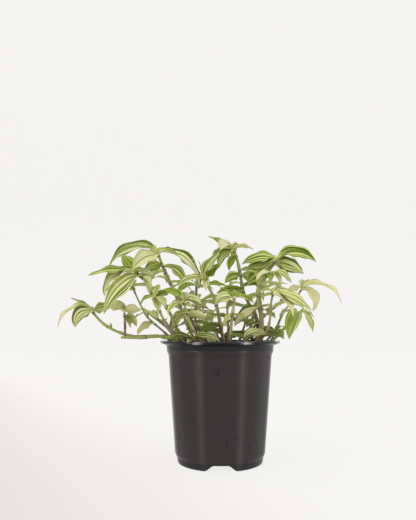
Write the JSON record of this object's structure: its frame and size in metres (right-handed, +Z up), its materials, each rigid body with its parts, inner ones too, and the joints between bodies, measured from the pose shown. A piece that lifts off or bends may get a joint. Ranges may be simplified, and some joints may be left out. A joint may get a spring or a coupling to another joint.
{
  "type": "potted tradescantia",
  "caption": "Trailing house plant with striped cream and green leaves on leafy stems, rooted in potting mix in a tapered black nursery pot.",
  "frame": {"origin": "centre of the pot's underside, on the surface that the pot stands on", "axes": "+Z up, +X to the viewer's right, along the plant's longest spread, +Y away from the viewer"},
  "size_m": [0.2853, 0.1726, 0.2236],
  "materials": {
    "black_plastic": "satin black moulded plastic",
    "potting_mix": "damp peat and bark mix",
    "variegated_leaf": "soft leaves striped cream and green on green stems tinted purple"
  },
  "bodies": {
    "root": {"pot": "black_plastic", "soil": "potting_mix", "leafy_stem_long_left": "variegated_leaf", "leafy_stem_cut_left": "variegated_leaf", "leafy_stem_left_rosette": "variegated_leaf", "leafy_stem_high_left": "variegated_leaf", "leafy_stem_thin_left": "variegated_leaf", "leafy_stem_red_left": "variegated_leaf", "leafy_stem_middle_left": "variegated_leaf", "leafy_stem_behind_left": "variegated_leaf", "leafy_stem_centre_left": "variegated_leaf", "leafy_stem_centre": "variegated_leaf", "leafy_stem_high_centre": "variegated_leaf", "leafy_stem_high_right": "variegated_leaf", "leafy_stem_thick_right": "variegated_leaf", "leafy_stem_purple_right": "variegated_leaf", "leafy_stem_low_right": "variegated_leaf", "leafy_stem_far_right": "variegated_leaf", "leafy_stem_rim_right": "variegated_leaf", "leafy_stem_rim_front_left": "variegated_leaf", "leafy_stem_rim_front_right": "variegated_leaf", "leafy_stem_rim_behind_left": "variegated_leaf", "leafy_stem_rim_behind": "variegated_leaf", "leafy_stem_rim_behind_right": "variegated_leaf", "leafy_stem_bush_1": "variegated_leaf", "leafy_stem_bush_2": "variegated_leaf", "leafy_stem_bush_3": "variegated_leaf", "leafy_stem_bush_4": "variegated_leaf", "leafy_stem_bush_5": "variegated_leaf", "leafy_stem_bush_6": "variegated_leaf", "leafy_stem_bush_7": "variegated_leaf", "leafy_stem_bush_8": "variegated_leaf"}
  },
  "joints": []
}
